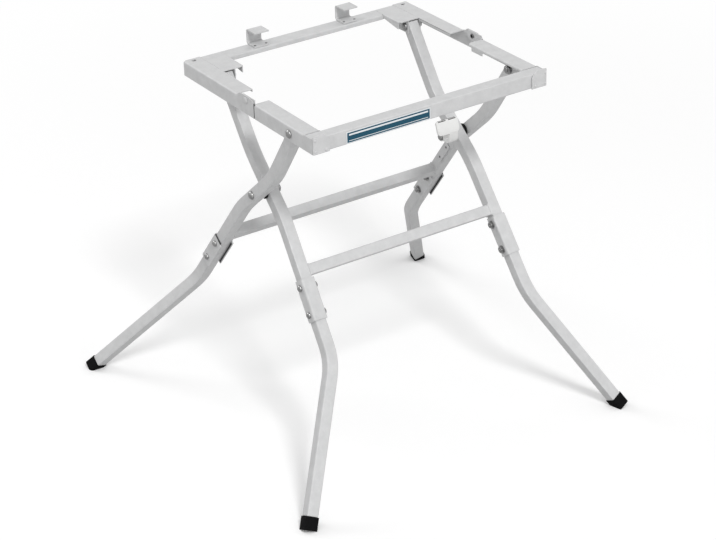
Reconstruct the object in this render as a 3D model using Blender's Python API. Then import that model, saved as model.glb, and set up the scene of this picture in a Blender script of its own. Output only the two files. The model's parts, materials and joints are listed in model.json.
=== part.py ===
"""Folding stand for a benchtop saw: hinged top frame, crossing legs, splayed lower legs and rubber feet."""

import math

import bmesh
import bpy
from mathutils import Matrix, Vector

# Mesh fineness
ROUND_STEPS = 12
BEND_STEPS = 5
CORNER_STEPS = 2
WELD = 0.000001
SHARP_ANGLE = math.radians(50)
MARKER_SIZE = 0.030

# Clearances
SEAT_GAP = 0.0003
PIVOT_SEAT = 0.0005
HOLE_CLEARANCE = 0.0003
LEG_EAR_GAP = 0.0005
CLEVIS_GAP = 0.0008
LEG_PAIR_GAP = 0.0045
CROSSING_GAP = 0.001
TUBE_END_GAP = 0.0005
CUT_MARGIN = 0.004
INNER_CORNER_LEAST = 0.0005

# Top frame
STAND_HEIGHT = 0.600
FRAME_WIDTH = 0.435
FRAME_DEPTH = 0.383
RAIL_HEIGHT = 0.025
SHEET = 0.0015
SIDE_FLANGE = 0.029
FRONT_RAIL_DEPTH = 0.0222
FRONT_RAIL_CORNER = 0.0025
CHANNEL_LIP = 0.005
CHANNEL_REAR = -0.0252
TAB_REAR = -0.032
TAB_LENGTH = 0.028
TAB_DEPTH = 0.012
CLEVIS_FRONT = 0.0105
CLEVIS_REAR = 0.023
CLEVIS_BELOW = 0.0095
REAR_RAIL_DEPTH = 0.0275
REAR_RAIL_LIP = 0.009
REAR_RAIL_HEIGHT = 0.0205
CORNER_WIDTH = 0.0675
CORNER_FRONT = 0.116
CORNER_CHAMFER = 0.004
CORNER_LIP_REAR = 0.006
CORNER_LIP_FRONT = 0.013
STRIP_FRONT = 0.027
STRIP_HOLE_RADIUS = 0.004
STRIP_HOLE_INSET = 0.0145
STRIP_HOLE_SETBACK = 0.0085

# Middle hinge
HINGE_DROP = 0.002
HINGE_RADIUS = 0.003
RIVET_HEAD_RADIUS = 0.0055
RIVET_HEAD_HEIGHT = 0.0016
RIVET_CROWN_RADIUS = 0.0039
RIVET_EDGE_HEIGHT = 0.0006
ARM_FRONT = -0.0222
ARM_FRONT_RISE = 0.002
EAR_RISE = 0.0055
EAR_BOTTOM_DROP = 0.0115
EAR_REACH_FRONT = -0.060
EAR_STEP = -0.024
EAR_REACH_REAR = 0.016
EAR_CORNER = 0.006
ARM_SHOULDER = 0.024

# Front corner plates and label strip
CAP_THICKNESS = 0.0025
CAP_WIDTH = 0.029
CAP_SLANT = 0.0105
CAP_SHOULDER_DROP = 0.0065
CAP_RISE = 0.0065
CAP_OUTER_RISE = 0.004
LABEL_CENTRE_X = -0.0815
LABEL_WIDTH = 0.153
LABEL_HEIGHT = 0.019
LABEL_RAISE = 0.002
LABEL_THICKNESS = 0.0008

# Hook brackets
HOOK_X = 0.086
HOOK_WIDTH = 0.027
HOOK_SHEET = 0.0025
HOOK_HEIGHT = 0.0265
HOOK_BASE = 0.026
HOOK_TOP = 0.0275

# Leg tubes
LEG_SIZE = 0.020
LEG_WALL = 0.0015
LEG_CORNER = 0.0025
LEG_BEND_RADIUS = 0.200
LOWER_BEND_RADIUS = 0.110
TOP_PIVOT_Y = 0.1245
TOP_PIVOT_DROP = 0.0135
LEG_END_RISE = 0.009
CROSS_PIVOT_DROP = 0.1645
UPPER_ANGLE = math.radians(34.4)
JOG_ANGLE = math.radians(48.6)
JOG_BELOW = 0.054
OUTER_LOWER_ANGLE = math.radians(38.0)
INNER_LOWER_ANGLE = math.radians(36.2)
LEG_SPLAY = math.radians(2.6)
BEND_DROP = 0.390
OUTER_FOOT_OUT = 0.1325
OUTER_FOOT_RUN = 0.1710
INNER_FOOT_OUT = 0.1200
INNER_FOOT_RUN = 0.1050

# Crossbars and sleeves
BAR_SIZE = 0.018
BAR_WALL = 0.0015
BAR_CORNER = 0.002
OUTER_BAR_DISTANCE = 0.096
INNER_BAR_DISTANCE = 0.088
SLEEVE_BELOW_BAR = 0.003
SLEEVE_LENGTH = 0.068
SLEEVE_WALL = 0.002
OUTER_SLEEVE_LIP = 0.0038
INNER_SLEEVE_LIP = -0.0015
SLEEVE_BOLT_SPACING = 0.044

# Rubber feet
FOOT_SIZE = 0.0225
FOOT_CORNER = 0.003
FOOT_HEAD = 0.0205
FOOT_TIP = 0.001
FOOT_PLUG = 0.016
FLOOR_CUT = 0.030

# Bolts and nuts
SLEEVE_BOLT_RADIUS = 0.003
SLEEVE_HEAD_RADIUS = 0.0055
SLEEVE_HEAD_HEIGHT = 0.0035
SLEEVE_NUT_FLATS = 0.010
SLEEVE_NUT_HEIGHT = 0.0045
PIVOT_BOLT_RADIUS = 0.004
PIVOT_HEAD_RADIUS = 0.0068
PIVOT_HEAD_HEIGHT = 0.004
PIVOT_NUT_FLATS = 0.0125
PIVOT_NUT_HEIGHT = 0.005
BOLT_TAIL = 0.0015
HEAD_CHAMFER = 0.0012
SPACER_RADIUS = 0.009
STUD_REACH = 0.0072

# Lock lever and catch plate
HUB_RADIUS = 0.0075
HUB_LENGTH = 0.017
LEVER_ARM_REACH = 0.024
LEVER_ARM_HALF = 0.0045
LEVER_SHEET = 0.004
PADDLE_WIDTH = 0.043
PADDLE_INNER_SHIFT = 0.0085
PADDLE_LOW = 0.0165
PADDLE_HIGH = 0.0375
PADDLE_LEAN = 0.008
COLLAR_RADIUS = 0.0058
COLLAR_LENGTH = 0.002
CATCH_START = 0.010
CATCH_LENGTH = 0.050
CATCH_WIDTH = 0.013
CATCH_THICKNESS = 0.0013

# Derived positions
HALF_WIDTH = FRAME_WIDTH / 2
HALF_DEPTH = FRAME_DEPTH / 2
TOP = STAND_HEIGHT
RAIL_BOTTOM = TOP - RAIL_HEIGHT
REAR_BOTTOM = TOP - REAR_RAIL_HEIGHT
WALL_INSIDE = HALF_WIDTH - SHEET
EAR_OUTSIDE = WALL_INSIDE - SEAT_GAP
EAR_INSIDE = EAR_OUTSIDE - SHEET
FLANGE_INNER = HALF_WIDTH - SIDE_FLANGE
UNDER_SHEET = TOP - SHEET - SEAT_GAP
HALF_LEG = LEG_SIZE / 2
OUTER_LEG_X = EAR_INSIDE - LEG_EAR_GAP - HALF_LEG
INNER_LEG_X = OUTER_LEG_X - LEG_SIZE - LEG_PAIR_GAP
PIVOT_Z = TOP - TOP_PIVOT_DROP
CROSS_Z = TOP - CROSS_PIVOT_DROP
HINGE_Z = TOP - HINGE_DROP
BEND_Z = TOP - BEND_DROP
CORNER_INNER_X = HALF_WIDTH - CORNER_WIDTH
CAP_INNER_X = HALF_WIDTH - CAP_WIDTH
FRONT_FACE = -HALF_DEPTH + CAP_THICKNESS + SEAT_GAP
FRONT_RAIL_REAR = FRONT_FACE + FRONT_RAIL_DEPTH
REAR_RAIL_FRONT = HALF_DEPTH - REAR_RAIL_DEPTH
PIVOT_HOLE = PIVOT_BOLT_RADIUS + HOLE_CLEARANCE
SLEEVE_HOLE = SLEEVE_BOLT_RADIUS + HOLE_CLEARANCE
SLEEVE_SIZES = (
    SLEEVE_BOLT_RADIUS, SLEEVE_HEAD_RADIUS, SLEEVE_HEAD_HEIGHT, SLEEVE_NUT_FLATS, SLEEVE_NUT_HEIGHT
)
PIVOT_SIZES = (PIVOT_BOLT_RADIUS, PIVOT_HEAD_RADIUS, PIVOT_HEAD_HEIGHT, PIVOT_NUT_FLATS, PIVOT_NUT_HEIGHT)
SIDES = (("left", -1), ("right", 1))
X_AXIS = Vector((1, 0, 0))
Y_AXIS = Vector((0, 1, 0))
Z_AXIS = Vector((0, 0, 1))


# Scene set-up

for stale in list(bpy.data.objects):
    bpy.data.objects.remove(stale)

PARTS = bpy.data.collections.new("saw_stand")
CUTTERS = bpy.data.collections.new("saw_stand_cutters")
bpy.context.scene.collection.children.link(PARTS)
bpy.context.scene.collection.children.link(CUTTERS)


def finish(name, colour, roughness, metallic):
    """Material with one colour, roughness and metallic value."""
    material = bpy.data.materials.new(name)
    material.use_nodes = True
    shader = material.node_tree.nodes["Principled BSDF"]
    shader.inputs["Base Color"].default_value = (*colour, 1.0)
    shader.inputs["Roughness"].default_value = roughness
    shader.inputs["Metallic"].default_value = metallic
    return material


POWDER = finish("powder_coat", (0.62, 0.63, 0.64), 0.45, 0.0)
ZINC = finish("zinc", (0.55, 0.55, 0.56), 0.35, 1.0)
RUBBER = finish("rubber", (0.012, 0.012, 0.013), 0.8, 0.0)
BLACK_PLASTIC = finish("black_plastic", (0.02, 0.02, 0.022), 0.5, 0.0)
WHITE_PLASTIC = finish("white_plastic", (0.78, 0.78, 0.76), 0.4, 0.0)
LABEL = finish("label", (0.03, 0.10, 0.14), 0.35, 0.0)


def marker(name, place, parent=None):
    """Empty that carries a group of pieces, placed on the group's joint axis."""
    empty = bpy.data.objects.new(name, None)
    empty.empty_display_size = MARKER_SIZE
    PARTS.objects.link(empty)
    empty.location = place
    if parent:
        empty.parent = parent
        empty.location -= parent.matrix_world.translation
    bpy.context.view_layer.update()
    return empty


# Shape tools

def facing_out(bm):
    """The same closed solid with all its faces outward."""
    bmesh.ops.recalc_face_normals(bm, faces=bm.faces)
    if bm.calc_volume(signed=True) < 0:
        bmesh.ops.reverse_faces(bm, faces=bm.faces)
    return bm


def joined(meshes):
    """One mesh that holds several separate solids."""
    whole = bmesh.new()
    for part in meshes:
        carrier = bpy.data.meshes.new("carrier")
        part.to_mesh(carrier)
        part.free()
        whole.from_mesh(carrier)
        bpy.data.meshes.remove(carrier)
    return whole


def placed(name, bm, collection, parent):
    """Object made of bm, whose points are in stand coordinates, carried by parent."""
    mesh = bpy.data.meshes.new(name)
    bm.to_mesh(mesh)
    bm.free()
    item = bpy.data.objects.new(name, mesh)
    collection.objects.link(item)
    item.parent = parent
    item.location = -parent.matrix_world.translation
    return item


def solid(name, bm, material, parent):
    """Named piece of the stand."""
    item = placed(name, bm, PARTS, parent)
    item.data.materials.append(material)
    return item


def combine(item, operation, meshes):
    """Boolean of a piece with the shapes in meshes."""
    tool = placed(item.name + "_" + operation.lower(), joined(meshes), CUTTERS, item.parent)
    tool.hide_render = True
    tool.display_type = "WIRE"
    step = item.modifiers.new(operation.lower(), "BOOLEAN")
    step.operation = operation
    step.solver = "EXACT"
    step.object = tool


def smooth_by_angle():
    """Node group that shades all faces smooth and keeps every edge sharp that turns past SHARP_ANGLE."""
    group = bpy.data.node_groups.new("smooth_by_angle", "GeometryNodeTree")
    group.interface.new_socket("Geometry", in_out="INPUT", socket_type="NodeSocketGeometry")
    group.interface.new_socket("Geometry", in_out="OUTPUT", socket_type="NodeSocketGeometry")
    source = group.nodes.new("NodeGroupInput")
    result = group.nodes.new("NodeGroupOutput")
    angle = group.nodes.new("GeometryNodeInputMeshEdgeAngle")
    gentle = group.nodes.new("FunctionNodeCompare")
    gentle.operation = "LESS_THAN"
    gentle.inputs["B"].default_value = SHARP_ANGLE
    faces = group.nodes.new("GeometryNodeSetShadeSmooth")
    edges = group.nodes.new("GeometryNodeSetShadeSmooth")
    edges.domain = "EDGE"
    group.links.new(source.outputs["Geometry"], faces.inputs["Geometry"])
    group.links.new(faces.outputs["Geometry"], edges.inputs["Geometry"])
    group.links.new(angle.outputs["Unsigned Angle"], gentle.inputs["A"])
    group.links.new(gentle.outputs["Result"], edges.inputs["Shade Smooth"])
    group.links.new(edges.outputs["Geometry"], result.inputs["Geometry"])
    return group


def facing(origin, across, up):
    """Matrix of a frame at origin whose own x and y run along across and up."""
    matrix = Matrix((across, up, across.cross(up))).transposed().to_4x4()
    matrix.translation = origin
    return matrix


def plate(outline, thickness, matrix):
    """Closed mesh of a flat outline in the frame's own x and y, centred on the frame along its z."""
    curve = bpy.data.curves.new("outline", "CURVE")
    curve.dimensions = "2D"
    curve.fill_mode = "BOTH"
    curve.extrude = thickness / 2
    spline = curve.splines.new("POLY")
    spline.points.add(len(outline) - 1)
    for point, (x, y) in zip(spline.points, outline):
        point.co = (x, y, 0.0, 1.0)
    spline.use_cyclic_u = True
    holder = bpy.data.objects.new("outline", curve)
    CUTTERS.objects.link(holder)
    mesh = bpy.data.meshes.new_from_object(holder.evaluated_get(bpy.context.evaluated_depsgraph_get()))
    bm = bmesh.new()
    bm.from_mesh(mesh)
    bmesh.ops.remove_doubles(bm, verts=bm.verts, dist=WELD)
    bm.transform(matrix)
    bpy.data.objects.remove(holder)
    bpy.data.curves.remove(curve)
    bpy.data.meshes.remove(mesh)
    return facing_out(bm)


def side_plate(outline, x, thickness):
    """Plate in the side plane: outline in y and z, centred at x."""
    return plate(outline, thickness, facing(X_AXIS * x, Y_AXIS, Z_AXIS))


def front_plate(outline, y, thickness):
    """Plate in the front plane: outline in x and z, centred at y."""
    return plate(outline, thickness, facing(Y_AXIS * y, X_AXIS, Z_AXIS))


def flat_plate(outline, z, thickness):
    """Plate in the level plane: outline in x and y, centred at z."""
    return plate(outline, thickness, facing(Z_AXIS * z, X_AXIS, Y_AXIS))


def block(low, high):
    """Outline of an upright rectangle between two corners."""
    return [(low[0], low[1]), (high[0], low[1]), (high[0], high[1]), (low[0], high[1])]


def turned(profile, foot, axis):
    """Closed round solid: profile lists radius and height along axis, from axis to axis."""
    bm = bmesh.new()
    verts = [bm.verts.new((radius, 0.0, height)) for radius, height in profile]
    edges = [bm.edges.new(pair) for pair in zip(verts, verts[1:])]
    bmesh.ops.spin(
        bm, geom=verts + edges, cent=(0, 0, 0), axis=(0, 0, 1), angle=math.tau, steps=ROUND_STEPS
    )
    bmesh.ops.remove_doubles(bm, verts=bm.verts, dist=WELD)
    bm.transform(Matrix.Translation(foot) @ axis.to_track_quat("Z", "X").to_matrix().to_4x4())
    return facing_out(bm)


def rod(start, end, radius):
    """Plain round bar between two points."""
    length = (end - start).length
    profile = [(0.0, 0.0), (radius, 0.0), (radius, length), (0.0, length)]
    return turned(profile, start, end - start)


def drill(place, axis, radius, depth):
    """Round cutter through place, running depth to each side along axis."""
    return rod(place - axis * depth, place + axis * depth, radius)


def bolt(seat, axis, shank_radius, length, head_radius, head_height):
    """Bolt whose head stands on seat along axis, with its shank running back by length."""
    profile = [
        (0.0, head_height),
        (head_radius - HEAD_CHAMFER, head_height),
        (head_radius, head_height - HEAD_CHAMFER),
        (head_radius, 0.0),
        (shank_radius, 0.0),
        (shank_radius, -length),
        (0.0, -length),
    ]
    return turned(profile, seat, axis)


def circle(radius):
    """Round profile."""
    angles = [math.tau * step / ROUND_STEPS for step in range(ROUND_STEPS)]
    return [(radius * math.cos(angle), radius * math.sin(angle)) for angle in angles]


def hexagon(flats):
    """Hexagon profile of a size across flats."""
    corner = flats / 2 / math.cos(math.pi / 6)
    angles = [math.tau * step / 6 for step in range(6)]
    return [(corner * math.cos(angle), corner * math.sin(angle)) for angle in angles]


def rounded(width, depth, corner):
    """Rectangle profile with round corners."""
    points = []
    for quarter, (across, up) in enumerate(((1, 1), (-1, 1), (-1, -1), (1, -1))):
        for step in range(CORNER_STEPS + 1):
            angle = math.pi / 2 * (quarter + step / CORNER_STEPS)
            x = across * (width / 2 - corner) + corner * math.cos(angle)
            y = up * (depth / 2 - corner) + corner * math.sin(angle)
            points.append((x, y))
    return points


def pushed(bm, loop, offset):
    """Walls from an edge loop to a copy of it moved by offset; gives the copy."""
    made = bmesh.ops.extrude_edge_only(bm, edges=loop)["geom"]
    verts = [item for item in made if isinstance(item, bmesh.types.BMVert)]
    bmesh.ops.translate(bm, verts=verts, vec=offset)
    fresh = set(verts)
    return [item for item in made if isinstance(item, bmesh.types.BMEdge) and fresh.issuperset(item.verts)]


def spun(bm, loop, centre, axis, angle):
    """Walls from an edge loop round a bend; gives the last copy of the loop."""
    made = bmesh.ops.spin(bm, geom=loop, cent=centre, axis=axis, angle=angle, steps=BEND_STEPS)
    return [item for item in made["geom_last"] if isinstance(item, bmesh.types.BMEdge)]


def trimmed(loops, heading, plane):
    """Slides the ends of a tube along heading on to a plane, given as a point and a normal."""
    place, normal = plane
    for vert in {vert for loop in loops for edge in loop for vert in edge.verts}:
        vert.co += heading * ((place - vert.co).dot(normal) / heading.dot(normal))


def tube(points, profiles, side, bend_radius=0.0, start_cut=None, end_cut=None):
    """Bar that follows points with round bends; profiles are its outer and, when hollow, inner outline."""
    bm = bmesh.new()
    heading = (points[1] - points[0]).normalized()
    first_heading = heading
    across = (side - heading * side.dot(heading)).normalized()
    up = heading.cross(across)
    loops = []
    for profile in profiles:
        verts = [bm.verts.new(points[0] + across * u + up * v) for u, v in profile]
        loops.append([bm.edges.new(pair) for pair in zip(verts, verts[1:] + verts[:1])])
    start_loops = loops
    here = points[0]
    for corner, beyond in zip(points[1:-1], points[2:]):
        onward = (beyond - corner).normalized()
        angle = heading.angle(onward)
        tangent = bend_radius * math.tan(angle / 2)
        loops = [pushed(bm, loop, corner - heading * tangent - here) for loop in loops]
        inward = (onward - heading * heading.dot(onward)).normalized()
        centre = corner - heading * tangent + inward * bend_radius
        loops = [spun(bm, loop, centre, heading.cross(onward), angle) for loop in loops]
        here = corner + onward * tangent
        heading = onward
    loops = [pushed(bm, loop, points[-1] - here) for loop in loops]
    if start_cut:
        trimmed(start_loops, first_heading, start_cut)
    if end_cut:
        trimmed(loops, heading, end_cut)
    for ends in (start_loops, loops):
        if len(ends) == 2:
            bmesh.ops.triangle_fill(bm, edges=ends[0] + ends[1], use_beauty=True)
        else:
            bmesh.ops.edgeloop_fill(bm, edges=ends[0])
    return facing_out(bm)


def square_tube(size, depth, wall, corner):
    """Outer and inner profile of a hollow rectangular tube."""
    inner_corner = max(corner - wall, INNER_CORNER_LEAST)
    return rounded(size, depth, corner), rounded(size - 2 * wall, depth - 2 * wall, inner_corner)


def nut(seat, axis, flats, height):
    """Hexagon nut, standing on seat along axis, to be joined with its bolt."""
    return tube([seat, seat + axis * height], [hexagon(flats)], axis.orthogonal())


def fastener(name, seat, axis, sizes, grip, parent):
    """Bolt with its nut run on: the head stands on seat along axis and the nut lies grip behind it."""
    shank_radius, head_radius, head_height, nut_flats, nut_height = sizes
    length = grip + nut_height + BOLT_TAIL
    item = solid(name, bolt(seat, axis, shank_radius, length, head_radius, head_height), ZINC, parent)
    combine(item, "UNION", [nut(seat - axis * grip, -axis, nut_flats, nut_height)])


def ring(seat, axis, radius, height, hole):
    """Round washer or spacer standing on seat along axis."""
    return tube([seat, seat + axis * height], (circle(radius), circle(hole)), axis.orthogonal())


# Legs: key points

class Leg:
    """Key points of a leg; run is 1 for an outer leg, to the rear, and -1 for an inner leg, to the front."""

    def __init__(self, side, run):
        outer = run > 0
        self.side = side
        self.run = run
        self.x = OUTER_LEG_X if outer else INNER_LEG_X
        upper = self.slope(UPPER_ANGLE)
        jog = self.slope(JOG_ANGLE)
        lower = self.slope(OUTER_LOWER_ANGLE if outer else INNER_LOWER_ANGLE)
        top = Vector((-TOP_PIVOT_Y, PIVOT_Z))
        cross = Vector((0.0, CROSS_Z))
        reach = (cross - top).cross(jog) / upper.cross(jog)
        knee = top + upper * reach
        ankle = cross + jog * JOG_BELOW
        bend = ankle + lower * ((ankle.y - BEND_Z) / -lower.y)
        self.knee_z = knee.y
        self.top = self.at(top)
        self.knee = self.at(knee)
        self.cross = self.at(cross)
        self.ankle = self.at(ankle)
        self.bend = self.at(bend)
        self.heading = (self.bend - self.ankle).normalized()
        self.outward = Vector((side, 0.0, math.tan(LEG_SPLAY))).normalized()
        under = self.heading.cross(self.outward)
        self.under = under if under.z < 0 else -under
        foot_out = OUTER_FOOT_OUT if outer else INNER_FOOT_OUT
        foot_run = OUTER_FOOT_RUN if outer else INNER_FOOT_RUN
        self.foot = Vector((self.bend.x + side * foot_out, self.bend.y + run * foot_run, 0.0))
        self.foot_heading = (self.foot - self.bend).normalized()
        self.foot_side = self.heading.rotation_difference(self.foot_heading) @ self.outward
        self.bar = OUTER_BAR_DISTANCE if outer else INNER_BAR_DISTANCE
        self.lip = OUTER_SLEEVE_LIP if outer else INNER_SLEEVE_LIP
        self.sleeve = self.bar + BAR_SIZE / 2 + SLEEVE_BELOW_BAR + SLEEVE_LENGTH / 2

    @staticmethod
    def slope(angle):
        """Downward direction in the side plane at an angle from upright."""
        return Vector((math.sin(angle), -math.cos(angle)))

    def at(self, point):
        """Place in the stand of a point in the leg's own side plane."""
        out = self.x + math.tan(LEG_SPLAY) * max(self.knee_z - point.y, 0.0)
        return Vector((self.side * out, self.run * point.x, point.y))

    def station(self, distance):
        """Place on the straight lower stretch at a distance below the second bend."""
        return self.ankle + self.heading * distance

    def bolt_places(self):
        """Centres of the sleeve's two bolts, upper one first."""
        half = SLEEVE_BOLT_SPACING / 2
        return self.station(self.sleeve - half), self.station(self.sleeve + half)


LEGS = {(word, run): Leg(side, run) for word, side in SIDES for run in (1, -1)}

# Carriers, each on its joint axis

STAND = marker("stand_origin", Vector((0, 0, 0)))
FRONT_TOP = marker("front_top_hinge", Vector((0, 0, HINGE_Z)), STAND)
INNER_LEGS = marker("inner_leg_pivot", Vector((0, TOP_PIVOT_Y, PIVOT_Z)), STAND)
OUTER_LEGS = marker("outer_leg_pivot", Vector((0, -TOP_PIVOT_Y, PIVOT_Z)), FRONT_TOP)
LEVER = marker("lock_lever_pivot", Vector((0, 0, CROSS_Z)), INNER_LEGS)

# Rear half of the top frame

solid(
    "rear_rail",
    side_plate(
        [
            (REAR_RAIL_FRONT, TOP),
            (HALF_DEPTH, TOP),
            (HALF_DEPTH, REAR_BOTTOM),
            (HALF_DEPTH - SHEET, REAR_BOTTOM),
            (HALF_DEPTH - SHEET, TOP - SHEET),
            (REAR_RAIL_FRONT + SHEET, TOP - SHEET),
            (REAR_RAIL_FRONT + SHEET, TOP - REAR_RAIL_LIP),
            (REAR_RAIL_FRONT, TOP - REAR_RAIL_LIP),
        ],
        0.0,
        2 * (CORNER_INNER_X - SEAT_GAP),
    ),
    POWDER,
    STAND,
)

HOOK_FOOT = TOP + SEAT_GAP
HOOK_FOOT_TOP = HOOK_FOOT + HOOK_SHEET
HOOK_CREST = TOP + HOOK_HEIGHT
for word, side in SIDES:
    solid(
        "saw_hook_" + word,
        side_plate(
            [
                (HALF_DEPTH, HOOK_FOOT),
                (HALF_DEPTH, HOOK_CREST),
                (HALF_DEPTH - HOOK_TOP, HOOK_CREST),
                (HALF_DEPTH - HOOK_TOP, HOOK_CREST - HOOK_SHEET),
                (HALF_DEPTH - HOOK_SHEET, HOOK_CREST - HOOK_SHEET),
                (HALF_DEPTH - HOOK_SHEET, HOOK_FOOT_TOP),
                (HALF_DEPTH - HOOK_BASE, HOOK_FOOT_TOP),
                (HALF_DEPTH - HOOK_BASE, HOOK_FOOT),
            ],
            side * HOOK_X,
            HOOK_WIDTH,
        ),
        POWDER,
        STAND,
    )

CORNER_OUTER_X = FLANGE_INNER - SEAT_GAP
SHEET_MIDDLE = TOP - SHEET / 2
EAR_CREST = TOP + EAR_RISE
for word, side in SIDES:
    corner_plate = solid(
        "corner_plate_" + word,
        flat_plate(
            [
                (side * CORNER_INNER_X, HALF_DEPTH),
                (side * CORNER_OUTER_X, HALF_DEPTH),
                (side * CORNER_OUTER_X, CORNER_FRONT),
                (side * (CORNER_INNER_X + CORNER_CHAMFER), CORNER_FRONT),
                (side * CORNER_INNER_X, CORNER_FRONT + CORNER_CHAMFER),
            ],
            SHEET_MIDDLE,
            SHEET,
        ),
        POWDER,
        STAND,
    )
    lip = side_plate(
        [
            (CORNER_FRONT + CORNER_CHAMFER, SHEET_MIDDLE),
            (CORNER_FRONT + CORNER_CHAMFER, TOP - CORNER_LIP_FRONT),
            (REAR_RAIL_FRONT, TOP - CORNER_LIP_REAR),
            (REAR_RAIL_FRONT, SHEET_MIDDLE),
        ],
        side * (CORNER_INNER_X + SHEET / 2),
        SHEET,
    )
    rear_wall = front_plate(
        [
            (side * CORNER_INNER_X, REAR_BOTTOM),
            (side * (WALL_INSIDE - SEAT_GAP), REAR_BOTTOM),
            (side * (WALL_INSIDE - SEAT_GAP), UNDER_SHEET),
            (side * CORNER_OUTER_X, UNDER_SHEET),
            (side * CORNER_OUTER_X, SHEET_MIDDLE),
            (side * CORNER_INNER_X, SHEET_MIDDLE),
        ],
        HALF_DEPTH - SHEET / 2,
        SHEET,
    )
    combine(corner_plate, "UNION", [lip, rear_wall])

    side_arm = solid(
        "side_arm_" + word,
        side_plate(
            [
                (HALF_DEPTH, RAIL_BOTTOM),
                (HALF_DEPTH, TOP),
                (ARM_SHOULDER, TOP),
                (EAR_REACH_REAR, EAR_CREST),
                (EAR_CORNER - EAR_REACH_REAR, EAR_CREST),
                (ARM_FRONT, TOP + ARM_FRONT_RISE),
                (ARM_FRONT, RAIL_BOTTOM),
            ],
            side * (HALF_WIDTH - SHEET / 2),
            SHEET,
        ),
        POWDER,
        STAND,
    )
    strip = flat_plate(
        [
            (side * FLANGE_INNER, STRIP_FRONT),
            (side * (HALF_WIDTH - SHEET / 2), STRIP_FRONT),
            (side * (HALF_WIDTH - SHEET / 2), HALF_DEPTH),
            (side * FLANGE_INNER, HALF_DEPTH),
        ],
        SHEET_MIDDLE,
        SHEET,
    )
    combine(side_arm, "UNION", [strip])
    pin_place = Vector((side * HALF_WIDTH, 0.0, HINGE_Z))
    hole_place = Vector((side * (HALF_WIDTH - STRIP_HOLE_INSET), HALF_DEPTH - STRIP_HOLE_SETBACK, TOP))
    arm_holes = [
        drill(pin_place, X_AXIS, HINGE_RADIUS + HOLE_CLEARANCE, SHEET + CUT_MARGIN),
        drill(hole_place, Z_AXIS, STRIP_HOLE_RADIUS, SHEET + CUT_MARGIN),
    ]
    combine(side_arm, "DIFFERENCE", arm_holes)

    outward = X_AXIS * side
    rivet_length = HALF_WIDTH - EAR_INSIDE + 2 * SEAT_GAP
    rivet = [
        (0.0, RIVET_HEAD_HEIGHT),
        (RIVET_CROWN_RADIUS, RIVET_HEAD_HEIGHT),
        (RIVET_HEAD_RADIUS, RIVET_EDGE_HEIGHT),
        (RIVET_HEAD_RADIUS, 0.0),
        (HINGE_RADIUS, 0.0),
        (HINGE_RADIUS, -rivet_length),
        (RIVET_HEAD_RADIUS, -rivet_length),
        (RIVET_HEAD_RADIUS, -rivet_length - RIVET_HEAD_HEIGHT),
        (0.0, -rivet_length - RIVET_HEAD_HEIGHT),
    ]
    solid("hinge_rivet_" + word, turned(rivet, pin_place + outward * SEAT_GAP, outward), ZINC, STAND)

    clevis_inside = HALF_LEG + CLEVIS_GAP
    clevis_outside = clevis_inside + SHEET
    clevis_low = PIVOT_Z - CLEVIS_BELOW
    front_y = TOP_PIVOT_Y - CLEVIS_FRONT
    rear_y = TOP_PIVOT_Y + CLEVIS_REAR
    leg_clevis = solid(
        "leg_clevis_" + word,
        flat_plate(
            [
                (side * INNER_LEG_X - clevis_outside, front_y),
                (side * INNER_LEG_X - clevis_inside, front_y),
                (side * INNER_LEG_X - clevis_inside, rear_y - SHEET),
                (side * INNER_LEG_X + clevis_inside, rear_y - SHEET),
                (side * INNER_LEG_X + clevis_inside, front_y),
                (side * INNER_LEG_X + clevis_outside, front_y),
                (side * INNER_LEG_X + clevis_outside, rear_y),
                (side * INNER_LEG_X - clevis_outside, rear_y),
            ],
            (clevis_low + UNDER_SHEET) / 2,
            UNDER_SHEET - clevis_low,
        ),
        POWDER,
        STAND,
    )
    inner_top = LEGS[word, -1].top
    combine(leg_clevis, "DIFFERENCE", [drill(inner_top, X_AXIS, PIVOT_HOLE, LEG_SIZE)])
    clevis_seat = clevis_outside + SEAT_GAP
    fastener(
        "inner_pivot_bolt_" + word,
        inner_top - outward * clevis_seat,
        -outward,
        PIVOT_SIZES,
        2 * clevis_seat,
        STAND,
    )

# Front half of the top frame

RAIL_END = WALL_INSIDE - SEAT_GAP
rail_middle = Vector((0.0, (FRONT_FACE + FRONT_RAIL_REAR) / 2, (TOP + RAIL_BOTTOM) / 2))
solid(
    "front_rail",
    tube(
        [rail_middle - X_AXIS * RAIL_END, rail_middle + X_AXIS * RAIL_END],
        square_tube(FRONT_RAIL_DEPTH, RAIL_HEIGHT, SHEET, FRONT_RAIL_CORNER),
        Y_AXIS,
    ),
    POWDER,
    FRONT_TOP,
)

label_low = (LABEL_CENTRE_X - LABEL_WIDTH / 2, RAIL_BOTTOM + LABEL_RAISE)
label_high = (LABEL_CENTRE_X + LABEL_WIDTH / 2, RAIL_BOTTOM + LABEL_RAISE + LABEL_HEIGHT)
label_y = FRONT_FACE - SEAT_GAP - LABEL_THICKNESS / 2
solid("label_strip", front_plate(block(label_low, label_high), label_y, LABEL_THICKNESS), LABEL, FRONT_TOP)

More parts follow.
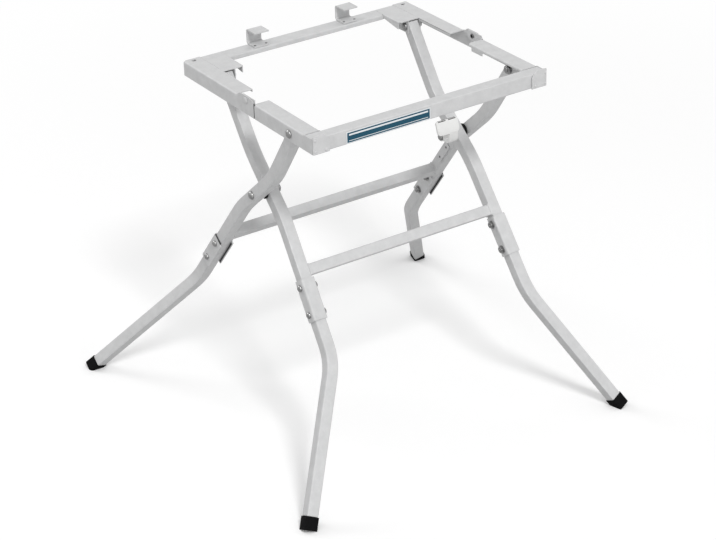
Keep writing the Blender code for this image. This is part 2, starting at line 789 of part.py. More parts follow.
for word, side in SIDES:
    outward = X_AXIS * side
    outer_top = LEGS[word, 1].top
    channel_length = CHANNEL_REAR - FRONT_FACE
    channel = solid(
        "front_channel_" + word,
        front_plate(
            [
                (side * HALF_WIDTH, RAIL_BOTTOM),
                (side * HALF_WIDTH, TOP),
                (side * FLANGE_INNER, TOP),
                (side * FLANGE_INNER, TOP - CHANNEL_LIP),
                (side * (FLANGE_INNER + SHEET), TOP - CHANNEL_LIP),
                (side * (FLANGE_INNER + SHEET), TOP - SHEET),
                (side * WALL_INSIDE, TOP - SHEET),
                (side * WALL_INSIDE, RAIL_BOTTOM),
            ],
            (CHANNEL_REAR + FRONT_FACE) / 2,
            channel_length,
        ),
        POWDER,
        FRONT_TOP,
    )
    tab = side_plate(
        block((TAB_REAR - TAB_LENGTH, TOP - TAB_DEPTH), (TAB_REAR, SHEET_MIDDLE)),
        side * (FLANGE_INNER + SHEET / 2),
        SHEET,
    )
    combine(channel, "UNION", [tab])
    rail_room = flat_plate(
        [
            (side * (FLANGE_INNER - CUT_MARGIN), FRONT_FACE - CUT_MARGIN),
            (side * WALL_INSIDE, FRONT_FACE - CUT_MARGIN),
            (side * WALL_INSIDE, FRONT_RAIL_REAR + SEAT_GAP),
            (side * (FLANGE_INNER - CUT_MARGIN), FRONT_RAIL_REAR + SEAT_GAP),
        ],
        TOP,
        RAIL_HEIGHT,
    )
    bolt_place = Vector((side * HALF_WIDTH, -TOP_PIVOT_Y, PIVOT_Z))
    combine(channel, "DIFFERENCE", [rail_room, drill(bolt_place, X_AXIS, PIVOT_HOLE, SHEET + CUT_MARGIN)])

    ear_low = TOP - EAR_BOTTOM_DROP
    hinge_ear = solid(
        "hinge_ear_" + word,
        side_plate(
            [
                (EAR_REACH_FRONT, ear_low),
                (EAR_REACH_FRONT, UNDER_SHEET),
                (EAR_STEP, UNDER_SHEET),
                (EAR_STEP, EAR_CREST),
                (EAR_REACH_REAR - EAR_CORNER, EAR_CREST),
                (EAR_REACH_REAR, EAR_CREST - EAR_CORNER),
                (EAR_REACH_REAR, ear_low + EAR_CORNER),
                (EAR_REACH_REAR - EAR_CORNER, ear_low),
            ],
            side * (EAR_OUTSIDE - SHEET / 2),
            SHEET,
        ),
        POWDER,
        FRONT_TOP,
    )
    ear_pin = Vector((side * EAR_OUTSIDE, 0.0, HINGE_Z))
    combine(hinge_ear, "DIFFERENCE", [drill(ear_pin, X_AXIS, HINGE_RADIUS + HOLE_CLEARANCE, CUT_MARGIN)])

    solid(
        "corner_cap_" + word,
        front_plate(
            [
                (side * CAP_INNER_X, RAIL_BOTTOM),
                (side * HALF_WIDTH, RAIL_BOTTOM),
                (side * HALF_WIDTH, TOP + CAP_OUTER_RISE),
                (side * (CAP_INNER_X + CAP_SLANT), TOP + CAP_RISE),
                (side * CAP_INNER_X, TOP - CAP_SHOULDER_DROP),
            ],
            -HALF_DEPTH + CAP_THICKNESS / 2,
            CAP_THICKNESS,
        ),
        POWDER,
        FRONT_TOP,
    )

    fastener(
        "outer_pivot_bolt_" + word,
        bolt_place + outward * SEAT_GAP,
        outward,
        PIVOT_SIZES,
        HALF_WIDTH - OUTER_LEG_X + HALF_LEG + 2 * SEAT_GAP,
        FRONT_TOP,
    )
    spacer_seat = outer_top + outward * (HALF_LEG + SEAT_GAP)
    spacer_height = WALL_INSIDE - OUTER_LEG_X - HALF_LEG - 2 * SEAT_GAP
    spacer = ring(spacer_seat, outward, SPACER_RADIUS, spacer_height, PIVOT_HOLE)
    solid("outer_pivot_spacer_" + word, spacer, BLACK_PLASTIC, FRONT_TOP)

# Leg tubes, sleeves, feet and crossbars of both leg pairs

LEG_PROFILES = square_tube(LEG_SIZE, LEG_SIZE, LEG_WALL, LEG_CORNER)
BAR_PROFILES = square_tube(BAR_SIZE, BAR_SIZE, BAR_WALL, BAR_CORNER)
FACE_SEAT = HALF_LEG + SEAT_GAP
SLEEVE_OUTSIDE = FACE_SEAT + SLEEVE_WALL
PLUG_SIZE = LEG_SIZE - 2 * LEG_WALL - 2 * SEAT_GAP

for pair, run, carrier in (("outer", 1, OUTER_LEGS), ("inner", -1, INNER_LEGS)):
    for word, side in SIDES:
        leg = LEGS[word, run]
        upper_heading = (leg.knee - leg.top).normalized()
        leg_end = leg.top - upper_heading * LEG_SIZE
        tube_end = leg.station(leg.sleeve - TUBE_END_GAP)
        bolt_places = leg.bolt_places()
        leg_upper = solid(
            pair + "_leg_upper_" + word,
            tube(
                [leg_end, leg.knee, leg.ankle, tube_end],
                LEG_PROFILES,
                X_AXIS,
                LEG_BEND_RADIUS,
                start_cut=(leg.top + Z_AXIS * LEG_END_RISE, Z_AXIS),
            ),
            POWDER,
            carrier,
        )
        leg_cuts = [
            drill(leg.top, X_AXIS, PIVOT_HOLE, LEG_SIZE),
            drill(leg.cross, X_AXIS, PIVOT_HOLE, LEG_SIZE),
            drill(bolt_places[0], leg.outward, SLEEVE_HOLE, LEG_SIZE),
        ]
        combine(leg_upper, "DIFFERENCE", leg_cuts)

        lower_start = leg.station(leg.sleeve + TUBE_END_GAP)
        lower_end = leg.foot - leg.foot_heading * (FOOT_HEAD + SEAT_GAP)
        leg_lower = solid(
            pair + "_leg_lower_" + word,
            tube([lower_start, leg.bend, lower_end], LEG_PROFILES, leg.outward, LOWER_BEND_RADIUS),
            POWDER,
            carrier,
        )
        combine(leg_lower, "DIFFERENCE", [drill(bolt_places[1], leg.outward, SLEEVE_HOLE, LEG_SIZE)])

        lip_edge = HALF_LEG + leg.lip
        sleeve = solid(
            pair + "_sleeve_" + word,
            plate(
                [
                    (-SLEEVE_OUTSIDE, -SLEEVE_OUTSIDE),
                    (SLEEVE_OUTSIDE, -SLEEVE_OUTSIDE),
                    (SLEEVE_OUTSIDE, lip_edge),
                    (FACE_SEAT, lip_edge),
                    (FACE_SEAT, -FACE_SEAT),
                    (-FACE_SEAT, -FACE_SEAT),
                    (-FACE_SEAT, lip_edge),
                    (-SLEEVE_OUTSIDE, lip_edge),
                ],
                SLEEVE_LENGTH,
                facing(leg.station(leg.sleeve), leg.outward, leg.under),
            ),
            POWDER,
            carrier,
        )
        sleeve_holes = [drill(place, leg.outward, SLEEVE_HOLE, LEG_SIZE) for place in bolt_places]
        combine(sleeve, "DIFFERENCE", sleeve_holes)

        sleeve_seat = leg.outward * (SLEEVE_OUTSIDE + SEAT_GAP)
        for level, place in zip(("high", "low"), bolt_places):
            fastener(
                pair + "_sleeve_bolt_" + level + "_" + word,
                place + sleeve_seat,
                leg.outward,
                SLEEVE_SIZES,
                2 * sleeve_seat.length,
                carrier,
            )

        foot = solid(
            pair + "_foot_" + word,
            tube(
                [leg.foot - leg.foot_heading * FOOT_HEAD, leg.foot + leg.foot_heading * FOOT_TIP],
                [rounded(FOOT_SIZE, FOOT_SIZE, FOOT_CORNER)],
                leg.foot_side,
            ),
            RUBBER,
            carrier,
        )
        plug = tube(
            [
                leg.foot - leg.foot_heading * (FOOT_HEAD + FOOT_PLUG),
                leg.foot - leg.foot_heading * (FOOT_HEAD / 2),
            ],
            [rounded(PLUG_SIZE, PLUG_SIZE, LEG_CORNER - LEG_WALL)],
            leg.foot_side,
        )
        combine(foot, "UNION", [plug])
        below = (leg.foot.x - FLOOR_CUT, leg.foot.y - FLOOR_CUT)
        above = (leg.foot.x + FLOOR_CUT, leg.foot.y + FLOOR_CUT)
        combine(foot, "DIFFERENCE", [flat_plate(block(below, above), -FLOOR_CUT / 2, FLOOR_CUT)])

    left_leg = LEGS["left", run]
    right_leg = LEGS["right", run]
    left_face = left_leg.station(left_leg.bar) - left_leg.outward * FACE_SEAT
    right_face = right_leg.station(right_leg.bar) - right_leg.outward * FACE_SEAT
    bar_side = Vector((0.0, right_leg.heading.y, right_leg.heading.z))
    solid(
        pair + "_crossbar",
        tube(
            [left_leg.station(left_leg.bar), right_leg.station(right_leg.bar)],
            BAR_PROFILES,
            bar_side,
            start_cut=(left_face, left_leg.outward),
            end_cut=(right_face, right_leg.outward),
        ),
        POWDER,
        carrier,
    )

# Crossing of the legs: the bolt and spacer ride on the outer leg, the stud and nut on the inner leg

CROSS_FACE = HALF_LEG / math.cos(LEG_SPLAY)
CROSS_SPACER = LEG_PAIR_GAP - PIVOT_SEAT - CROSSING_GAP
for word, side in SIDES:
    outward = X_AXIS * side
    outer_cross = LEGS[word, 1].cross
    inner_cross = LEGS[word, -1].cross
    cross_bolt = bolt(
        outer_cross + outward * (CROSS_FACE + PIVOT_SEAT),
        outward,
        PIVOT_BOLT_RADIUS,
        2 * CROSS_FACE + 2 * PIVOT_SEAT + CROSS_SPACER,
        PIVOT_HEAD_RADIUS,
        PIVOT_HEAD_HEIGHT,
    )
    solid("cross_pivot_bolt_" + word, cross_bolt, ZINC, OUTER_LEGS)
    cross_spacer_seat = outer_cross - outward * (CROSS_FACE + PIVOT_SEAT)
    cross_spacer = ring(cross_spacer_seat, -outward, SPACER_RADIUS, CROSS_SPACER, PIVOT_HOLE)
    solid("cross_pivot_spacer_" + word, cross_spacer, BLACK_PLASTIC, OUTER_LEGS)

    stud_start = inner_cross + outward * HALF_LEG
    cross_nut_seat = inner_cross - outward * (CROSS_FACE + PIVOT_SEAT)
    if side < 0:
        stud = rod(stud_start, inner_cross - outward * (CROSS_FACE + STUD_REACH), PIVOT_BOLT_RADIUS)
    else:
        hub_face = cross_nut_seat - outward * (PIVOT_NUT_HEIGHT + PIVOT_SEAT)
        collar_seat = hub_face - outward * (HUB_LENGTH + SEAT_GAP)
        stud_length = (stud_start - collar_seat).length
        stud = bolt(collar_seat, -outward, PIVOT_BOLT_RADIUS, stud_length, COLLAR_RADIUS, COLLAR_LENGTH)
    stud_item = solid("cross_pivot_stud_" + word, stud, ZINC, INNER_LEGS)
    combine(stud_item, "UNION", [nut(cross_nut_seat, -outward, PIVOT_NUT_FLATS, PIVOT_NUT_HEIGHT)])

# Lock lever on the right stud

hub_middle = hub_face - X_AXIS * (HUB_LENGTH / 2)
lever = solid(
    "lock_lever",
    rod(hub_face - X_AXIS * HUB_LENGTH, hub_face, HUB_RADIUS),
    WHITE_PLASTIC,
    LEVER,
)
lever_frame = facing(hub_middle, Y_AXIS, Z_AXIS)
arm = plate(
    [
        (0.0, LEVER_ARM_HALF),
        (0.0, -LEVER_ARM_HALF),
        (-LEVER_ARM_REACH, -LEVER_ARM_HALF),
        (-LEVER_ARM_REACH - LEVER_SHEET / 2, PADDLE_LOW),
        (LEVER_SHEET / 2 - LEVER_ARM_REACH, PADDLE_LOW),
        (LEVER_SHEET - LEVER_ARM_REACH, LEVER_ARM_HALF),
    ],
    HUB_LENGTH,
    lever_frame,
)
paddle = plate(
    [
        (-LEVER_ARM_REACH - LEVER_SHEET / 2, PADDLE_LOW - LEVER_SHEET / 2),
        (LEVER_SHEET / 2 - LEVER_ARM_REACH, PADDLE_LOW - LEVER_SHEET / 2),
        (LEVER_SHEET / 2 - LEVER_ARM_REACH + PADDLE_LEAN, PADDLE_HIGH),
        (PADDLE_LEAN - LEVER_ARM_REACH - LEVER_SHEET / 2, PADDLE_HIGH),
    ],
    PADDLE_WIDTH,
    facing(hub_middle - X_AXIS * PADDLE_INNER_SHIFT, Y_AXIS, Z_AXIS),
)
combine(lever, "UNION", [arm])
combine(lever, "UNION", [paddle])
combine(lever, "DIFFERENCE", [drill(hub_middle, X_AXIS, PIVOT_HOLE, HUB_LENGTH)])

# Catch plate on the inner face of the right outer leg

catch_leg = LEGS["right", 1]
catch_face = -catch_leg.outward * (HALF_LEG + SEAT_GAP)
catch_middle = catch_leg.station(CATCH_START + CATCH_LENGTH / 2) + catch_face
solid(
    "lock_catch",
    plate(
        block((-CATCH_WIDTH / 2, -CATCH_LENGTH / 2), (CATCH_WIDTH / 2, CATCH_LENGTH / 2)),
        CATCH_THICKNESS,
        facing(catch_middle - catch_leg.outward * CATCH_THICKNESS / 2, catch_leg.under, catch_leg.heading),
    ),
    POWDER,
    OUTER_LEGS,
)

# Round surfaces shaded smooth

SHADING = smooth_by_angle()
for item in PARTS.objects:
    if item.type == "MESH":
        item.modifiers.new("shading", "NODES").node_group = SHADING

# Whole stand set so that its feet lie evenly about the origin

bpy.context.view_layer.update()
depsgraph = bpy.context.evaluated_depsgraph_get()
feet = [bpy.data.objects[pair + "_foot_" + word] for pair in ("outer", "inner") for word, side in SIDES]
reach = []
for foot in feet:
    shape = foot.evaluated_get(depsgraph)
    reach += [(foot.matrix_world @ vert.co).y for vert in shape.data.vertices]
STAND.location.y = -(max(reach) + min(reach)) / 2
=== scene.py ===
"""Looks of a folding saw stand: rounded sheet and tube, finishes, fittings, floor, light and camera."""

import json
import math

import bmesh
import bpy
from mathutils import Matrix, Vector


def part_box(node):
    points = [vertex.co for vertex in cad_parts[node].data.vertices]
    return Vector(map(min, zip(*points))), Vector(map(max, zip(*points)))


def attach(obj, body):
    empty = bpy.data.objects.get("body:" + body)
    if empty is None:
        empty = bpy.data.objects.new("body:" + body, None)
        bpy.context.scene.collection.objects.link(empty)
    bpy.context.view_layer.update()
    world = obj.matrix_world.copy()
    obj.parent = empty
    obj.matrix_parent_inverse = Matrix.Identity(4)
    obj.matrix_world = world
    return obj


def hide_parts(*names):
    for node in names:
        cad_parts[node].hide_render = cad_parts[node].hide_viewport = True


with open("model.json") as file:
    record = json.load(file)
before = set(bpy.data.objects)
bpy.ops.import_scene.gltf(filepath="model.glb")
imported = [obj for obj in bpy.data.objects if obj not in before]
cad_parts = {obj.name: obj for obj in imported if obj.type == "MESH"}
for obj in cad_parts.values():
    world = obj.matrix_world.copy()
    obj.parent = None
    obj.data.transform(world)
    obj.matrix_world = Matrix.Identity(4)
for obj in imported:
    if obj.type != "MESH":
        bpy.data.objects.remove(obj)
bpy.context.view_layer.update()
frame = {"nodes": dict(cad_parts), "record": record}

NODES = frame["nodes"]
BODY_OF = {node: body for body, nodes in frame["record"]["behaviour"]["bodies"].items() for node in nodes}
SLOT_OF = {part["node"]: part["material_slot"] for part in frame["record"]["subparts"]}
SIDES = (("left", -1), ("right", 1))
PAIRS = ("outer", "inner")
X_AXIS = Vector((1, 0, 0))
Y_AXIS = Vector((0, 1, 0))
Z_AXIS = Vector((0, 0, 1))

# All lengths are in metres

# Mesh fineness
WELD = 0.00001
NEAR = 0.00012
CUT_SHIFT = 0.0002
FLAT_ANGLE = math.radians(0.5)
EDGE_ANGLE = math.radians(28)
EDGE_SEGMENTS = 2
FOLD_SEGMENTS = 5
ROUND_STEPS = 24
BEAD_STEPS = 8

# Edge rounding
CUT_EDGE = 0.00035
TUBE_EDGE = 0.0008
FOOT_EDGE = 0.0014
LEVER_EDGE = 0.0012
CAP_EDGE = 0.0006
FINE_EDGE = 0.00012
LABEL_EDGE = 0.00003

# Sheet and folds
SHEET = 0.0015
SHEET_FOLD = 0.0036
SEAT_GAP = 0.0003
STRIP_LENGTH = 0.1645
HOOK_SHEET = 0.0025
HOOK_FOLD = 0.0045
SLEEVE_SHEET = 0.002
SLEEVE_FOLD = 0.0032
SLEEVE_OUTSIDE = 0.0123
CAP_FOLD = 0.0019
LEG_SPLAY = math.radians(2.6)
LEG_HALF = 0.010
BAR_HALF = 0.009

# Fasteners: shank, head, head height, nut across flats, nut height
PIVOT_SIZES = (0.004, 0.0068, 0.004, 0.0125, 0.005)
SLEEVE_SIZES = (0.003, 0.0055, 0.0035, 0.010, 0.0045)
BOLT_TAIL = 0.0015
TAIL_CHAMFER = 0.0004
NUT_CHAMFER = 0.0008
WASHER_HEIGHT = 0.0008
WASHER_RATIO = 0.70
DOME = ((1.0, 0.0), (1.0, 0.22), (0.95, 0.45), (0.84, 0.68), (0.66, 0.86), (0.40, 0.97), (0.12, 1.0))
RIVET_SHANK = 0.003
RIVET_HEAD = 0.0055
RIVET_TAIL = 0.0040
RIVET_HEIGHT = 0.0016
SPACER_HOLE = 0.0043
SPACER_CHAMFER = 0.0005
PAD_RIM = 0.0030
SCREW_RADIUS = 0.0021
SCREW_HEIGHT = 0.0009
CATCH_SCREW_SPACING = 0.032
HOOK_SCREW_SPACING = 0.021
HOOK_SCREW_INSET = 0.0042

# Small forms
BUMP_RADIUS = 0.0023
BUMP_HEIGHT = 0.0013
BEAD_RADIUS = 0.0014
BEAD_PITCH = 0.0011
BEAD_RIPPLE = 0.16
HEM_DEPTH = 0.0050
HEM_THICKNESS = 0.0005
HOOK_TOP_REACH = 0.0015
CAP_BUMPS = ((0.12, 0.27), (0.12, 0.84), (0.78, 0.86))
# Black strips that paint the shade of two slots on the lever's top edge
LEVER_SLOT_SHADES = ((0.004, 0.019), (0.024, 0.039))
SLOT_SHADE_FRONT = 0.0076
SLOT_SHADE_REAR = 0.0112
SLOT_SHADE_DEPTH = 0.0012
SLOT_SHADE_PROUD = 0.0001
LEVER_SHEET = 0.004
LEVER_HEEL = 0.006
LEVER_REACH = 0.024
LEVER_BEND = 0.009
ARM_HALF = 0.0045
HUB_RADIUS = 0.0075
HUB_LENGTH = 0.017
PADDLE_WIDTH = 0.043
PADDLE_SHIFT = 0.0085
PADDLE_LOW = 0.0165
PADDLE_HIGH = 0.0375
PADDLE_LEAN = 0.008
PADDLE_LOW_CORNER = 0.0065
PADDLE_TOP_CORNER = 0.0030
CORNER_STEPS = 6
# Sizes of the near-black strips that paint the shade inside the sleeve lips and at each sleeve's upper end
SHADE_STRIP_THICKNESS = 0.0008
SHADE_STRIP_INSET = 0.0006
SHADE_STRIP_END = 0.002
END_SHADE_LENGTH = 0.0022
STRIP_GAP = 0.0003
LABEL_PROUD = 0.00012
LABEL_FIELD = ((0.010, 0.08, 0.990, 0.92),)
LABEL_BARS = ((0.030, 0.20, 0.970, 0.25), (0.030, 0.66, 0.970, 0.80))

# Noise: range in use, and how fine the colour patches and the roughness are
NOISE_LOW = 0.3
NOISE_HIGH = 0.7
PATCH_DETAIL = 6.0
PATCH_FINENESS = 0.7
ROUGH_COARSER = 4

# Camera, from the photograph's vanishing lines
IMAGE_WIDTH = 716
FOCAL_PIXELS = 2174.17
SENSOR_WIDTH = 36.0
CAMERA_PLACE = Vector((-1.7491, -2.7001, 1.9257))
CAMERA_AZIMUTH = math.radians(32.9765)
CAMERA_ELEVATION = math.radians(27.9552)
CAMERA_ROLL = math.radians(-1.7149)

# Light and floor
WORLD_STRENGTH = 0.57
KEY_DIRECTION = Vector((-0.20, -0.85, 1.0))
KEY_DISTANCE = 12.0
KEY_SIZE = 2.4
KEY_POWER = 590.0
FILL_DIRECTION = Vector((-0.15, -1.0, 0.16))
FILL_DISTANCE = 8.0
FILL_SIZE = 4.0
FILL_POWER = 95.0
RIM_DIRECTION = Vector((-0.46, 0.74, 0.50))
RIM_DISTANCE = 8.0
RIM_SIZE = 3.6
RIM_POWER = 125.0
FLOOR_SIZE = 16.0
FLOOR_DROP = 0.0002
FLOOR_SEEN = (0.95, 0.95, 0.95)
FLOOR_BOUNCE = (0.60, 0.60, 0.60)
FLOOR_GLOW = 0.08
FLOOR_FADE = (0.9, 2.2)


# Node helpers

def new_material(name):
    """Node material with its nodes, links and Principled shader."""
    material = bpy.data.materials.new(name)
    material.use_nodes = True
    nodes = material.node_tree.nodes
    return material, nodes, material.node_tree.links, nodes["Principled BSDF"]


def grain(nodes, links, scale, detail=2.0, fineness=0.5):
    """Noise in the part's own coordinates; scale is in grains a metre."""
    place = nodes.new("ShaderNodeTexCoord")
    noise = nodes.new("ShaderNodeTexNoise")
    noise.inputs["Scale"].default_value = scale
    noise.inputs["Detail"].default_value = detail
    noise.inputs["Roughness"].default_value = fineness
    links.new(place.outputs["Object"], noise.inputs["Vector"])
    return noise.outputs["Fac"]


def spread(nodes, links, source, low, high):
    """Maps a noise to a range of values."""
    ramp = nodes.new("ShaderNodeMapRange")
    ramp.inputs["From Min"].default_value = NOISE_LOW
    ramp.inputs["From Max"].default_value = NOISE_HIGH
    ramp.inputs["To Min"].default_value = low
    ramp.inputs["To Max"].default_value = high
    links.new(source, ramp.inputs["Value"])
    return ramp.outputs["Result"]


def tint(nodes, links, source, dark, light):
    """Maps a noise to a range of colours."""
    ramp = nodes.new("ShaderNodeValToRGB")
    ramp.color_ramp.elements[0].position = NOISE_LOW
    ramp.color_ramp.elements[0].color = (*dark, 1.0)
    ramp.color_ramp.elements[1].position = NOISE_HIGH
    ramp.color_ramp.elements[1].color = (*light, 1.0)
    links.new(source, ramp.inputs["Fac"])
    return ramp.outputs["Color"]


def bump(nodes, links, source, height):
    """Bump of a height in metres from a noise."""
    node = nodes.new("ShaderNodeBump")
    node.inputs["Distance"].default_value = height
    links.new(source, node.inputs["Height"])
    return node.outputs["Normal"]


def surface(name, dark, light, rough, patch, grit, height, metallic=0.0, gloss=0.5):
    """Finish with patches of colour, uneven roughness and a fine raised grain."""
    material, nodes, links, shader = new_material(name)
    shader.inputs["Metallic"].default_value = metallic
    shader.inputs["Specular IOR Level"].default_value = gloss
    patches = grain(nodes, links, patch, PATCH_DETAIL, PATCH_FINENESS)
    links.new(tint(nodes, links, patches, dark, light), shader.inputs["Base Color"])
    wear = grain(nodes, links, grit / ROUGH_COARSER)
    links.new(spread(nodes, links, wear, *rough), shader.inputs["Roughness"])
    links.new(bump(nodes, links, grain(nodes, links, grit), height), shader.inputs["Normal"])
    return material


LOOKS = {
    "powder_coat": {
        "dark": (0.545, 0.547, 0.55), "light": (0.625, 0.627, 0.63), "rough": (0.35, 0.45),
        "patch": 60, "grit": 900, "height": 0.00004,
    },
    "zinc": {
        "dark": (0.27, 0.27, 0.28), "light": (0.40, 0.40, 0.39), "rough": (0.20, 0.34),
        "patch": 160, "grit": 2400, "height": 0.00002, "metallic": 1.0,
    },
    "dark_zinc": {
        "dark": (0.16, 0.16, 0.165), "light": (0.24, 0.24, 0.24), "rough": (0.30, 0.45),
        "patch": 160, "grit": 2400, "height": 0.00002, "metallic": 1.0,
    },
    "rubber": {
        "dark": (0.003, 0.003, 0.0034), "light": (0.006, 0.006, 0.0064), "rough": (0.60, 0.82),
        "patch": 60, "grit": 1500, "height": 0.00008, "gloss": 0.06,
    },
    "black_plastic": {
        "dark": (0.005, 0.005, 0.0055), "light": (0.010, 0.010, 0.0105), "rough": (0.45, 0.6),
        "patch": 90, "grit": 1800, "height": 0.00003, "gloss": 0.15,
    },
    # Near-black finish of the strips that paint the shade in the hinge gaps and sleeve lips
    "painted_shade_grey": {
        "dark": (0.040, 0.040, 0.042), "light": (0.058, 0.058, 0.060), "rough": (0.45, 0.6),
        "patch": 90, "grit": 1800, "height": 0.00003, "gloss": 0.3,
    },
    "white_plastic": {
        "dark": (0.76, 0.76, 0.75), "light": (0.80, 0.80, 0.79), "rough": (0.32, 0.44),
        "patch": 40, "grit": 1800, "height": 0.00003,
    },
    "label": {
        "dark": (0.72, 0.75, 0.77), "light": (0.76, 0.79, 0.81), "rough": (0.26, 0.36),
        "patch": 30, "grit": 1200, "height": 0.00001, "gloss": 0.2,
    },
    "label_blue": {
        "dark": (0.012, 0.070, 0.115), "light": (0.016, 0.082, 0.130), "rough": (0.26, 0.36),
        "patch": 30, "grit": 1200, "height": 0.00001, "gloss": 0.2,
    },
}
FINISH = {name: surface(name, **look) for name, look in LOOKS.items()}


# Shapes

def circle(radius):
    """Points of a circle."""
    turns = [math.tau * k / ROUND_STEPS for k in range(ROUND_STEPS)]
    return [(radius * math.cos(turn), radius * math.sin(turn)) for turn in turns]


def hexagon(flats):
    """Points of a hexagon, as many as on a circle, so that the two can be joined."""
    sector = math.pi / 3
    points = []
    for k in range(ROUND_STEPS):
        turn = math.tau * k / ROUND_STEPS
        reach = flats / 2 / math.cos((turn + sector / 2) % sector - sector / 2)
        points.append((reach * math.cos(turn), reach * math.sin(turn)))
    return points


def arc(centre, radius, start, end):
    """Points of an arc between two angles in degrees."""
    turns = [math.radians(start + (end - start) * k / CORNER_STEPS) for k in range(CORNER_STEPS + 1)]
    return [(centre[0] + radius * math.cos(turn), centre[1] + radius * math.sin(turn)) for turn in turns]


def tablet(width, height, low_corner, high_corner):
    """Points of an upright plate with rounded corners, standing on its middle."""
    low_x = width / 2 - low_corner
    high_x = width / 2 - high_corner
    high_y = height - high_corner
    points = arc((low_x, low_corner), low_corner, -90, 0)
    points += arc((high_x, high_y), high_corner, 0, 90)
    points += arc((-high_x, high_y), high_corner, 90, 180)
    return points + arc((-low_x, low_corner), low_corner, 180, 270)


def framed(place, across, up):
    """Frame at a place with its own x and y along two directions."""
    matrix = Matrix((across, up, across.cross(up))).transposed().to_4x4()
    matrix.translation = place
    return matrix


def aimed(place, axis):
    """Frame at a place with its height along an axis."""
    return Matrix.Translation(place) @ axis.to_track_quat("Z", "Y").to_matrix().to_4x4()


def stack(bm, matrix, levels, closed=False):
    """Skin through flat outlines at heights, capped at both ends, or joined end to start."""
    loops = []
    for outline, height in levels:
        loops.append([bm.verts.new(matrix @ Vector((x, y, height))) for x, y in outline])
    pairs = list(zip(loops, loops[1:]))
    faces = []
    if closed:
        pairs.append((loops[-1], loops[0]))
    else:
        faces += [bm.faces.new(loops[0]), bm.faces.new(loops[-1])]
    for lower, upper in pairs:
        for k in range(len(lower)):
            faces.append(bm.faces.new((lower[k - 1], lower[k], upper[k], upper[k - 1])))
    bmesh.ops.recalc_face_normals(bm, faces=faces)


def slab(bm, matrix, low, high):
    """Block between two corners of a frame."""
    outline = [(low[0], low[1]), (high[0], low[1]), (high[0], high[1]), (low[0], high[1])]
    stack(bm, matrix, [(outline, low[2]), (outline, high[2])])


def dome(bm, matrix, radius, height):
    """Low round head standing on a frame."""
    stack(bm, matrix, [(circle(radius * wide), height * tall) for wide, tall in DOME])


def rod(bm, matrix, radius, low, high):
    """Round bar along a frame's height, with its low end chamfered."""
    full = circle(radius)
    stack(bm, matrix, [(circle(radius - TAIL_CHAMFER), low), (full, low + TAIL_CHAMFER), (full, high)])


def ring(bm, matrix, radius, length):
    """Ring with chamfered rims, round a pivot."""
    narrow = circle(radius - SPACER_CHAMFER)
    full = circle(radius)
    hole = circle(SPACER_HOLE)
    stack(bm, matrix, [
        (narrow, 0.0),
        (full, SPACER_CHAMFER),
        (full, length - SPACER_CHAMFER),
        (narrow, length),
        (hole, length),
        (hole, 0.0),
    ], closed=True)


def nut(bm, matrix, flats, low, high):
    """Hexagon nut with chamfered corners and a washer on its high end."""
    round_end = circle(flats / 2)
    full = hexagon(flats)
    stack(bm, matrix, [
        (round_end, low),
        (full, low + NUT_CHAMFER),
        (full, high - NUT_CHAMFER),
        (round_end, high),
    ])
    rim = circle(flats * WASHER_RATIO)
    stack(bm, matrix, [(rim, high - WASHER_HEIGHT), (rim, high)])


def bead(bm, points, normal):
    """Rippled weld bead along a closed run of points; normal is square to the run."""
    rings = []
    for start, end in zip(points, points[1:] + points[:1]):
        across = (end - start).cross(normal).normalized()
        count = max(2, round((end - start).length / BEAD_PITCH))
        for k in range(count):
            centre = start.lerp(end, k / count)
            radius = BEAD_RADIUS * (1 - BEAD_RIPPLE * (k % 2))
            turns = [math.tau * j / BEAD_STEPS for j in range(BEAD_STEPS)]
            rings.append([centre + (across * math.cos(t) + normal * math.sin(t)) * radius for t in turns])
    loops = [[bm.verts.new(point) for point in points_round] for points_round in rings]
    faces = []
    for lower, upper in zip(loops, loops[1:] + loops[:1]):
        for k in range(BEAD_STEPS):
            faces.append(bm.faces.new((lower[k - 1], lower[k], upper[k], upper[k - 1])))
    bmesh.ops.recalc_face_normals(bm, faces=faces)


# Mesh tools

def cleaned(node):
    """Copy of a solid of the frame, with its flat faces whole."""
    bm = bmesh.new()
    bm.from_mesh(NODES[node].data)
    bmesh.ops.remove_doubles(bm, verts=bm.verts, dist=WELD)
    bmesh.ops.dissolve_limit(bm, angle_limit=FLAT_ANGLE, verts=bm.verts, edges=bm.edges)
    return bm


def parted(bm, axis, place):
    """The two closed parts of a solid below and above a place along an axis."""
    parts = []
    for upper in (False, True):
        part = bm.copy()
        geom = list(part.verts) + list(part.edges) + list(part.faces)
        made = bmesh.ops.bisect_plane(
            part, geom=geom, plane_co=axis * place, plane_no=axis, clear_inner=upper, clear_outer=not upper
        )
        rims = [item for item in made["geom_cut"] if isinstance(item, bmesh.types.BMEdge)]
        bmesh.ops.edgeloop_fill(part, edges=rims)
        bmesh.ops.recalc_face_normals(part, faces=part.faces)
        parts.append(part)
    bm.free()
    return parts


def joined(meshes):
    """One mesh that holds several separate solids."""
    whole = bmesh.new()
    for part in meshes:
        carrier = bpy.data.meshes.new("carrier")
        part.to_mesh(carrier)
        part.free()
        whole.from_mesh(carrier)
        bpy.data.meshes.remove(carrier)
    return whole


def folded(bm, folds):
    """Rounds the sharp edges whose two ends pass a test, for each test and radius."""
    for test, radius in folds:
        edges = [
            edge for edge in bm.edges
            if edge.is_manifold
            and edge.calc_face_angle() > EDGE_ANGLE
            and all(test(vert.co) for vert in edge.verts)
        ]
        bmesh.ops.bevel(
            bm, geom=edges, offset=radius, segments=FOLD_SEGMENTS,
            profile=0.5, affect="EDGES", clamp_overlap=True,
        )
    return bm


def near(value, target):
    """True where two lengths agree."""
    return abs(value - target) < NEAR


